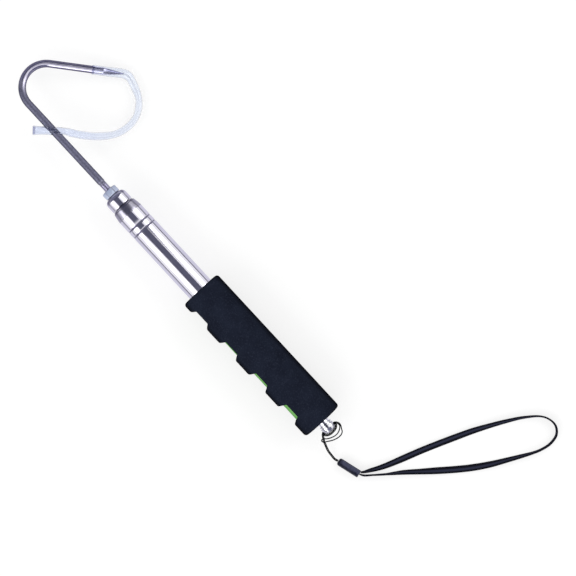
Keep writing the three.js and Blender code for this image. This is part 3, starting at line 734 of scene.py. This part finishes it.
# Telescoping tubes
def wall_outline(number, radius, mouth_radius):
    """The grooves and the mouth of one wall: the outer tube is swaged to a cone, and the others are rolled in."""
    mouth, length = MOUTHS[number], MOUTH_LENGTHS[number]
    out = []
    for setback in GROOVES:
        for s in np.linspace(-1, 1, GROOVE_STEPS):
            dip = GROOVE_DEPTH * (1 + math.cos(math.pi * s)) / 2
            out.append((mouth - setback + s * GROOVE_WIDTH / 2, radius - dip))
    for t in np.linspace(0, 1, MOUTH_STEPS):
        on, share = math.sin(t * math.pi / 2), math.cos(t * math.pi / 2)
        if number == 0:
            on, share = t, 1 - t**SWAGE_CURVE
        out.append((mouth - length * (1 - on), mouth_radius + (radius - mouth_radius) * share))
    return out


def tube(number):
    radius, mouth = SECTION_RADII[number], MOUTHS[number]
    if number < len(SECTION_RADII) - 1:
        gap, wall = (MOUTH_GAP, WALL) if number else (SWAGE_GAP, SWAGE_WALL)
        bore = SECTION_RADII[number + 1] + gap
        outside = wall_outline(number, radius, bore + wall)
        inside = wall_outline(number, radius - WALL, bore)[::-1]
    else:
        outside, inside = [(mouth, radius)], [(mouth, radius - WALL)]
    outside[-1] = (outside[-1][0] - LIP_EDGE, outside[-1][1])
    inside[0] = (inside[0][0] - LIP_EDGE, inside[0][1])
    lip = [(mouth, (outside[-1][1] + inside[0][1]) / 2)]
    flare = [(OUTER_REAR, radius)]
    if number:
        flare = [(SECTION_REAR + FLARE_EDGE, radius + FLARE_HEIGHT), (SECTION_REAR + FLARE_LENGTH, radius)]
    throat = [(x, r - WALL) for x, r in flare][::-1]
    return lathe([*flare, *outside, *lip, *inside, *throat])


for number, (name, body, node) in enumerate((
    ("tube_outer", "handle", "outer_tube"), ("tube_second", "section_2", "section_2_tube"),
    ("tube_third", "section_3", "section_3_tube"), ("tube_fourth", "section_4", "section_4_tube"),
)):
    piece(name, *tube(number), tube_look(number), body, [node], sharp=60)


def ferrule():
    """A turned collar with a domed nose and a long stem in the innermost tube."""
    edge, dish, sink, nose_edge = 0.35, 0.1, 0.5, 0.6
    dome_start, stem_rear = FERRULE_FRONT - DOME_LENGTH, FERRULE_REAR - STEM_LENGTH
    dome = [
        (dome_start + DOME_LENGTH * math.sin(a), NOSE_RADIUS + (FERRULE_RADIUS - NOSE_RADIUS) * math.cos(a))
        for a in np.linspace(0, math.pi / 2, DOME_STEPS)
    ]
    front = [
        (FERRULE_FRONT, NOSE_RADIUS - nose_edge), (FERRULE_FRONT - dish, FERRULE_BORE + sink),
        (FERRULE_FRONT - nose_edge, FERRULE_BORE),
    ]
    rear = [
        (stem_rear, FERRULE_BORE), (stem_rear, STEM_RADIUS),
        (FERRULE_REAR, STEM_RADIUS), (FERRULE_REAR, FERRULE_RADIUS),
    ]
    return lathe([*softened(rear, edge, closed=False), *dome, *front])


piece("ferrule_collar", *ferrule(), FERRULE, "section_4", ["hook_ferrule"])


def nut():
    """Flats cut through a turned blank, so that each is bounded by the arcs of its chamfers."""
    half, sixth = NUT_FLATS / 2, math.pi / 3
    corner = half / math.cos(sixth / 2)
    face = half * NUT_FACE_SHARE
    edge, face_edge, flat_edge = 0.05, 0.15, 0.25
    columns = []
    for turn in circle(TURNED_SIDES):
        flat = min(half / math.cos(turn % sixth - sixth / 2), corner - NUT_CORNER_CUT)
        drop = max(edge, (flat - face) * NUT_CHAMFER_SLOPE)
        rear = [
            (NUT_SINK, NUT_BORE), (0, NUT_BORE + NUT_SINK), (0, face - face_edge),
            (edge, face), (drop + edge, flat - edge), (drop + flat_edge, flat),
        ]
        outline = [(NUT_REAR + x, r) for x, r in rear] + [(NUT_REAR + NUT_LENGTH - x, r) for x, r in rear[::-1]]
        angle = turn + sixth
        columns.append([(x, r * math.cos(angle), AXIS_Z + r * math.sin(angle)) for x, r in outline])
    return ringed(np.swapaxes(columns, 0, 1), True)


piece("nut_hexagon", *nut(), ZINC, "section_4", ["lock_nut"], sharp=20)

# Hook, drawn in a flat plane of its own, which leans until the guard lies on the table
gape = BEND_RADIUS * (1 - math.cos(BEND_SWEEP)) + RUN_LENGTH * math.sin(BEND_SWEEP)
tip = np.array([BEND_START + BEND_RADIUS * math.sin(BEND_SWEEP) + RUN_LENGTH * math.cos(BEND_SWEEP), -gape, 0])
run_heading = np.array([math.cos(BEND_SWEEP), -math.sin(BEND_SWEEP), 0])
lean = math.asin((AXIS_Z - GUARD_RADIUS - GUARD_TABLE_GAP) / (gape * (1 - min(y for _, y in GUARD_SHARES))))
guard_rear, guard_front = tip - GUARD_COVER * run_heading, tip + np.array([*GUARD_SHARES[-1], 0]) * gape


def leaned(points):
    """From the hook's flat plane to its place on the pole."""
    points = np.asarray(points, float)
    x, y, z = points[..., 0], points[..., 1], points[..., 2]
    c, s = math.cos(lean), math.sin(lean)
    return np.stack((x, y * c - z * s, y * s + z * c + AXIS_Z), -1)


def hook_line(s):
    """Where the wire is after so many millimetres, and which way it runs there."""
    straight, bend = BEND_START - HOOK_REAR, BEND_RADIUS * BEND_SWEEP
    if s <= straight:
        return np.array((HOOK_REAR + s, 0, 0)), (1, 0, 0)
    angle = min(s - straight, bend) / BEND_RADIUS
    heading = np.array([math.cos(angle), -math.sin(angle), 0])
    on = np.array([BEND_START + BEND_RADIUS * math.sin(angle), BEND_RADIUS * (math.cos(angle) - 1), 0])
    return on + heading * max(0, s - straight - bend), heading


def hook():
    """The wire: a thread that runs out into the shank, the bend, the run and the ground point."""
    length = BEND_START - HOOK_REAR + BEND_RADIUS * BEND_SWEEP + RUN_LENGTH
    thread = (NUT_REAR + NUT_LENGTH - THREAD_PITCH - HOOK_REAR, THREAD_FRONT - HOOK_REAR)
    rear_edge, end_share, steepness, crest = 0.5, 0.15, 1.25, 0.12
    hidden_step, thread_step, shank_step, point_step = 3, 0.07, 1.2, 0.4
    fine_from = length - POINT_LENGTH - 2
    places = [0.02, rear_edge, 1.0, *np.arange(hidden_step, thread[0], hidden_step)]
    places += [*np.arange(*thread, thread_step), *np.arange(thread[1], fine_from, shank_step)]
    places += [*np.arange(fine_from, length, point_step), length - 0.1, length - 0.02, length]
    rings = []
    for s in places:
        on, heading = hook_line(s)
        across = np.cross(UP, heading)
        left = length - s
        taper = (WIRE_RADIUS - POINT_RADIUS) * (left / POINT_LENGTH) ** POINT_CURVE
        radius = min(WIRE_RADIUS, POINT_RADIUS + taper)
        if left < POINT_BLUNT:
            radius *= min(1, end_share + math.sqrt(left / POINT_BLUNT))
        radius -= max(0, rear_edge - s) / 2
        run_out = min(1, (thread[1] - s) / THREAD_RUN_OUT) if thread[0] < s < thread[1] else 0
        points = []
        for turn in circle(WIRE_SIDES):
            wave = abs(2 * ((s / THREAD_PITCH - turn / (2 * math.pi)) % 1) - 1)
            r = radius - THREAD_DEPTH * run_out * min(1, max(0, steepness * wave - crest))
            points.append(on + r * (across * math.cos(turn) + UP * math.sin(turn)))
        rings.append(points)
    return ringed(leaned(rings), False)


piece("hook_wire", *hook(), hook_look(), "section_4", ["hook"], sharp=50)


def guard():
    """A clear tube, stretched over the wire and round the shank that pierces it, and flattened where it bends."""
    loop = [(tip[0] + x * gape, tip[1] + y * gape, 0) for x, y in GUARD_SHARES]
    cover_middle = tip - GUARD_COVER / 2 * run_heading
    line, places = even(catmull([guard_rear, cover_middle, tip, *loop])[0], GUARD_STEP)
    heading = headings(line)
    count = len(places)
    pierce = np.array([tip[0] + GUARD_SHARES[PIERCE][0] * gape, 0, 0])
    window = 4
    ends = [(heading[max(0, i - window)], heading[min(count - 1, i + window)]) for i in range(count)]
    bend = np.array([math.acos(min(1, a @ b)) for a, b in ends]) / (2 * window * GUARD_STEP)
    fade, stretch, flare_height, bulge_height, squash_depth, full_bend = 9, 0.5, 0.35, 1.1, 0.7, 1 / 20
    over_wire = np.exp(-((np.maximum(0, places - GUARD_COVER) / fade) ** 2))
    flare = flare_height * np.exp(-((2 * (places[-1] - places) / fade) ** 2))
    bulge = bulge_height * np.exp(-((np.linalg.norm(line - pierce, axis=1) / fade) ** 2))
    squash = squash_depth * np.minimum(1, bend / full_bend) * (1 - over_wire)
    free_bore, wire_bore = GUARD_RADIUS - GUARD_WALL, WIRE_RADIUS + GUARD_FIT
    outer = GUARD_RADIUS + stretch * over_wire + flare
    bore = free_bore + (wire_bore - free_bore) * over_wire + flare
    rings = []
    for size, order in ((outer, range(count)), (bore, reversed(range(count)))):
        for i in order:
            flat, tall = size[i] - squash[i], size[i] + bulge[i] + squash[i] / 2
            rings.append(ring(line[i], np.cross(UP, heading[i]) * flat, UP * tall, GUARD_SIDES))
    return ringed(leaned(rings), True)


def bored(made, start, end, radius):
    """Cuts a round hole through a piece."""
    heading = unit(end - start)
    across = unit(np.cross(UP, heading))
    over = np.cross(heading, across)
    points, faces = ringed([ring(on, radius * across, radius * over, WIRE_SIDES) for on in (start, end)], False)
    mesh = meshed("hole", row(points), faces)
    face_outwards(mesh)
    cutter = linked("hole", mesh)
    cut = made.modifiers.new("hole", "BOOLEAN")
    cut.operation, cut.solver, cut.object = "DIFFERENCE", "EXACT", cutter
    bpy.context.view_layer.update()
    result = bpy.data.meshes.new_from_object(made.evaluated_get(bpy.context.evaluated_depsgraph_get()))
    made.modifiers.clear()
    made.data = result
    bpy.data.objects.remove(cutter)


vinyl = clear_vinyl(*zip((leaned(guard_rear), leaned(guard_front)), RIM_SHADE_REACHES))
sleeve = piece("guard_tube", *guard(), vinyl, "section_4", ["point_guard"], sharp=50)
bored(sleeve, *(np.array([x, 0, AXIS_Z]) for x in PIERCE_ENDS), WIRE_RADIUS + PIERCE_GAP)


def grip_field(p):
    """Turned foam, hollow for the liner and the tube, its finger notches cut through to the green liner."""
    x, y, z = p[..., 0], p[..., 1], p[..., 2] - AXIS_Z
    out = np.hypot(y, z)
    body = boxed(x, out, GRIP_HALF, GRIP_RADIUS, GRIP_EDGE)
    pocket_middle, pocket_half = sum(LINER_ENDS) / 2, (LINER_ENDS[1] - LINER_ENDS[0]) / 2 + LINER_GAP
    pocket = np.maximum(np.abs(x - pocket_middle) - pocket_half, out - LINER_RADIUS - LINER_GAP)
    bore = np.maximum(GRIP_SEAT - x, out - LINER_BORE)
    body = np.maximum(body, -np.minimum(np.minimum(pocket, bore), out - GRIP_STEM_HOLE))
    slope = (NOTCH_MOUTH - NOTCH_FLOOR) / 2 / (GRIP_RADIUS - NOTCH_PLANE)
    for middle, degrees in zip(NOTCH_MIDDLES, NOTCH_TURNS):
        a = math.radians(degrees)
        height = y * math.cos(a) + z * math.sin(a)
        wall = (np.abs(x - middle) - NOTCH_FLOOR / 2 - slope * (height - NOTCH_PLANE)) / math.hypot(1, slope)
        notch = blunt_max(NOTCH_PLANE - height, wall, NOTCH_FILLET)
        body = blunt_max(body, -notch, NOTCH_EDGE)
    return body


foam_grip = field_piece(
    "grip_foam", grip_field, BLACK_FOAM, ["grip_sleeve"],
    low=(-GRIP_HALF, -18, 0), high=(GRIP_HALF, 18, 36), step=0.65,
)
liner_rear, liner_front = LINER_ENDS
liner_outline = [
    (liner_rear, LINER_BORE), (liner_rear, LINER_RADIUS), (liner_front, LINER_RADIUS), (liner_front, LINER_BORE),
]
liner = piece("grip_lining", *lathe(softened(liner_outline, LINER_EDGE)), GREEN_FOAM, "handle", ["grip_liner"])


def outline_distance(outline, x, r):
    """Signed distance to a closed outline in the plane of (x, radius)."""
    points = np.array(outline)
    best, inside = np.full(x.shape, 1e9), np.zeros(x.shape, bool)
    for a, b in zip(points, np.roll(points, -1, 0)):
        along = b - a
        t = np.clip(((x - a[0]) * along[0] + (r - a[1]) * along[1]) / (along @ along), 0, 1)
        if max(abs(a[1]), abs(b[1])) > 1e-9:
            best = np.minimum(best, np.hypot(x - a[0] - t * along[0], r - a[1] - t * along[1]))
        if a[1] != b[1]:
            crossing = (a[1] > r) != (b[1] > r)
            inside ^= crossing & (x < a[0] + (r - a[1]) / (b[1] - a[1]) * along[0])
    return np.where(inside, -best, best)


def cap_field(p):
    """A turned chrome knob with an eye bored across its head."""
    x, y, z = p[..., 0], p[..., 1], p[..., 2] - AXIS_Z
    body = outline_distance(CAP_OUTLINE, x, np.hypot(y, z))
    return blunt_max(body, EYE_RADIUS - np.hypot(x - EYE_X, z), EYE_EDGE)


field_piece("cap_knob", cap_field, CHROME, ["end_cap"], low=(-80.2, -6, 12), high=(-52.7, 6, 24), step=0.14)


def slider_field(p):
    """A rounded block with a raised rim round the panel on its top."""
    d = p - SLIDER_MIDDLE
    s, w, h = d @ SLIDER_AHEAD, d @ SLIDER_SIDE, d[..., 2]
    long, wide, tall = np.abs(s) - SLIDER_HALF[0], np.abs(w) - SLIDER_HALF[1], np.abs(h) - SLIDER_HALF[2]
    side = np.hypot(np.maximum(wide + SLIDER_ROUND, 0), np.maximum(tall + SLIDER_ROUND, 0)) - SLIDER_ROUND
    turn = np.where(s < 0, SLIDER_NOSE_ROUND, SLIDER_TAIL_ROUND)
    plan = np.hypot(np.maximum(wide + turn, 0), np.maximum(long + turn, 0)) - turn
    block = blunt_max(side, plan, SLIDER_EDGE)
    panel = blunt_max(np.maximum(long + PANEL_INSET, np.abs(w) - PANEL_HALF), PANEL_Z - h, PANEL_FILLET)
    return blunt_max(block, -panel, PANEL_EDGE)


field_piece(
    "slider_block", slider_field, SLIDER_BLUE, ["cord_slider"],
    low=(-121.5, 4, 0), high=(-100.5, 17, 6.2), step=0.15,
)


def cord_line():
    """Both lanes of the pair and the loop that joins them, from the slider out and back."""
    middle = np.vstack([SLIDER_FRONT - SLIDER_AHEAD * LANYARD_GAP, CORD_PAIR])
    fine, places = catmull(middle, 40)
    heading = headings(fine)
    knots = [int(np.argmin(np.abs(places - i))) for i in range(len(middle))]
    across = unit(np.cross(UP, heading[knots]))
    left, right = middle + across * CORD_PITCH / 2, middle - across * CORD_PITCH / 2
    return catmull(np.vstack([left, CORD_LOOP, right[::-1]]))[0]


def tubed(line, radius, sides):
    """A round tube whose section turns no more than its line does."""
    heading = headings(line)
    across = unit(np.cross(UP, heading[0]))
    rings = []
    for on, ahead in zip(line, heading):
        across = unit(across - ahead * (across @ ahead))
        rings.append(ring(on, radius * across, radius * np.cross(ahead, across), sides))
    return ringed(rings, False)


cord_path, cord_at = even(cord_line(), CORD_STEP)
cord_uv = [(s, turn * CORD_RADIUS) for s in cord_at for turn in circle(CORD_SIDES)]
cord_mesh = tubed(cord_path, CORD_RADIUS, CORD_SIDES)
cord = piece("lanyard_loop", *cord_mesh, CORD_BLACK, "handle", ["lanyard_cord"], sharp=0, uv=cord_uv)
row(cord_path[0])
row(cord_path).tolist()


def strap_section():
    """The outline of the webbing across its run, as (across, out): rounded edges, and faces a little proud."""
    quarter, edge_share, proud_share, low_share, proud_half, face_half = 1.57, 0.9, 1.1, 1.02, 1.6, 1.7
    edge = STRAP_THICKNESS / 2 * edge_share
    middle = STRAP_WIDTH / 2 - edge
    section = [(middle + edge * math.cos(a), edge * math.sin(a)) for a in np.linspace(-quarter, quarter, 6)]
    for w in np.linspace(face_half, -face_half, 8):
        section.append((w, edge * (proud_share if abs(w) < proud_half else low_share)))
    return section + [(-w, -t) for w, t in section]


def strap():
    """Webbing that stands or leans along its route, with its layout along and round, and its middle line."""
    start = SLIDER_REAR + SLIDER_AHEAD * LANYARD_GAP + SLIDER_SIDE * STRAP_ASIDE
    across = SLIDER_SIDE * STRAP_PITCH / 2
    first, last = STRAP_END_LEANS
    route = [(*(start + across)[:2], first), *STRAP_ROUTE, (*(start - across)[:2], last)]
    fine, places = catmull([(x, y, 0) for x, y, _ in route])
    leans = np.interp(places, range(len(route)), [math.radians(a) for _, _, a in route])
    fine[:, 2] = (STRAP_WIDTH * np.cos(leans) + STRAP_THICKNESS * np.sin(leans)) / 2 + STRAP_LIFT
    line, along, leans = even(fine, STRAP_STEP, leans)
    section = strap_section()
    around = np.concatenate([[0], np.cumsum(np.hypot(*np.diff(np.array(section), axis=0).T))])
    rings = []
    for on, ahead, turn in zip(line, headings(line), leans):
        wide = unit(np.cross(UP, ahead)) * math.sin(turn) + UP * math.cos(turn)
        wide = unit(wide - ahead * (wide @ ahead))
        thick = np.cross(ahead, wide)
        rings.append([on + w * wide + t * thick for w, t in section])
    return ringed(rings, False), [(s, v) for s in along for v in around], line


strap_mesh, strap_uv, strap_path = strap()
webbing = piece("strap_band", *strap_mesh, WEBBING, "handle", ["wrist_strap"], sharp=0, uv=strap_uv)
strap_length = np.linalg.norm(np.diff(strap_path, axis=0), axis=1).sum() * MM
row(strap_path[0])
row(strap_path).tolist()

# The nylon rings and the plug inside the tubes keep their own shapes
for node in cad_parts.values():
    if not node.hide_render:
        node.data.materials.clear()
        node.data.materials.append(NYLON.made)


# Stage
def flat(name, centre, size):
    """A rectangle that faces up."""
    x, y, z = centre
    half_x, half_y = size[0] / 2, size[1] / 2
    corners = [(-half_x, -half_y), (half_x, -half_y), (half_x, half_y), (-half_x, half_y)]
    made = linked(name, meshed(name, [(x + a, y + b, z) for a, b in corners], [(0, 1, 2, 3)]))
    return made


def floor_look():
    """A matt white that glows a little to the eye and through the vinyl; polish mirrors it in tinted strips."""
    look = Look("floor_white", Roughness=1.0, Specular_IOR_Level=0.0)
    path = look.nodes.new("ShaderNodeLightPath").outputs
    seen = look.math("MAXIMUM", path["Is Camera Ray"], path["Is Transmission Ray"])
    outside = look.math("SUBTRACT", 1.0, path["Is Transmission Ray"])
    glossy = look.math("MULTIPLY", path["Is Glossy Ray"], outside)
    along, across = (look.node("SeparateXYZ", {"Vector": look.node("NewGeometry")}, axis) for axis in (0, 1))
    away = look.away(across, SHIFT[1])
    # Painted reflections: for polish the floor glows in these tints instead of its lit colour, a lilac grey near
    # the pole, darker past the hook strip, a dark strip beside the tubes and white far off
    near = look.mix(look.rise(along, *HOOK_STRIP), (0.73, 0.72, 0.81, 1), (0.2, 0.19, 0.26, 1))
    mirrored = look.mix(look.rise(away, *NEAR_STRIP), near, (0.17, 0.165, 0.215, 1))
    mirrored = look.mix(look.rise(away, *FAR_STRIP), mirrored, (1, 1, 1, 1))
    return look.set(
        Base_Color=look.mix(glossy, (FLOOR_WHITE, FLOOR_WHITE, FLOOR_WHITE, 1), (0, 0, 0, 1)),
        Emission_Color=look.mix(glossy, (1, 1, 1, 1), mirrored),
        Emission_Strength=look.math("ADD", glossy, look.math("MULTIPLY", seen, FLOOR_GLOW)),
    )


floor = flat("floor", (-0.05, -0.02, -0.0002), (14, 14))
floor.data.materials.append(floor_look().made)

# Grey cards out of the picture, which only the polished parts mirror, as (name, centre, size, turn in degrees)
card_look = Look("card_grey", Roughness=1.0, Specular_IOR_Level=0.0, Base_Color=rgb(140, 141, 165))
for name, centre, size, turn in (
    ("ceiling_card", (0.305, 0.235, 3.4), (1.31, 2.97), (0, 0, 0)),
    ("ceiling_hook_card", (1.755, 0.43, 3.4), (1.59, 4.4), (0, 0, 0)),
    ("ceiling_corner_card", (1.75, -2.95, 3.4), (1.7, 2.4), (0, 0, 0)),
    ("hook_end_card", (2.55, 0, 1.75), (3.4, 9.0), (0, 90, 0)),
    ("cap_end_card", (-2.6, 0, 1.6), (3.1, 4.0), (0, 90, 0)),
    ("cap_card", (-0.275, SHIFT[1] + 0.02, 0.3), (0.18, 0.16), (0, 0, 0)),
    ("far_corner_card", (-2.2, 3.0, 0.4), (3.0, 0.9), (90, 0, 40.5)),
):
    card = flat(name, (0, 0, 0), size)
    card.location, card.rotation_euler = centre, [math.radians(a) for a in turn]
    card.data.materials.append(card_look.made)
    card.visible_camera = card.visible_diffuse = card.visible_shadow = False

# White surroundings, dimmer to matt surfaces than to polish
world = bpy.data.worlds.new("surroundings")
bpy.context.scene.world = world
world.use_nodes = True
tree = world.node_tree
background = tree.nodes["Background"].inputs
background["Color"].default_value = (1, 1, 1, 1)
ray = tree.nodes.new("ShaderNodeLightPath")
dimmed = tree.nodes.new("ShaderNodeMapRange")
dimmed.inputs["To Min"].default_value, dimmed.inputs["To Max"].default_value = 1.0, WORLD_LIGHT
tree.links.new(ray.outputs["Is Diffuse Ray"], dimmed.inputs["Value"])
tree.links.new(dimmed.outputs["Result"], background["Strength"])

for side, middle, length in ((-1, -0.35, 2.4), (1, -0.6, 4.1)):
    lamp = bpy.data.lights.new("softbox", "AREA")
    lamp.shape, lamp.size, lamp.size_y = "RECTANGLE", length, SOFTBOX_DEPTH
    lamp.energy = SOFTBOX_POWER * length
    holder = linked("softbox", lamp)
    holder.location = (middle, SOFTBOX_ASIDE * side, SOFTBOX_HEIGHT)
    holder.rotation_euler = (-SOFTBOX_TILT * side, 0, 0)
    holder.visible_camera = False

camera = bpy.data.cameras.new("camera")
camera.sensor_width, camera.lens = CAMERA_SENSOR, CAMERA_LENS
camera.clip_start, camera.clip_end = 0.05, 50
eye = linked("camera", camera)
eye.location = row(CAMERA_PLACE)
eye.rotation_euler = (0, 0, CAMERA_TURN)
bpy.context.scene.camera = eye
bpy.context.scene.view_settings.view_transform = "Standard"

bpy.context.view_layer.update()
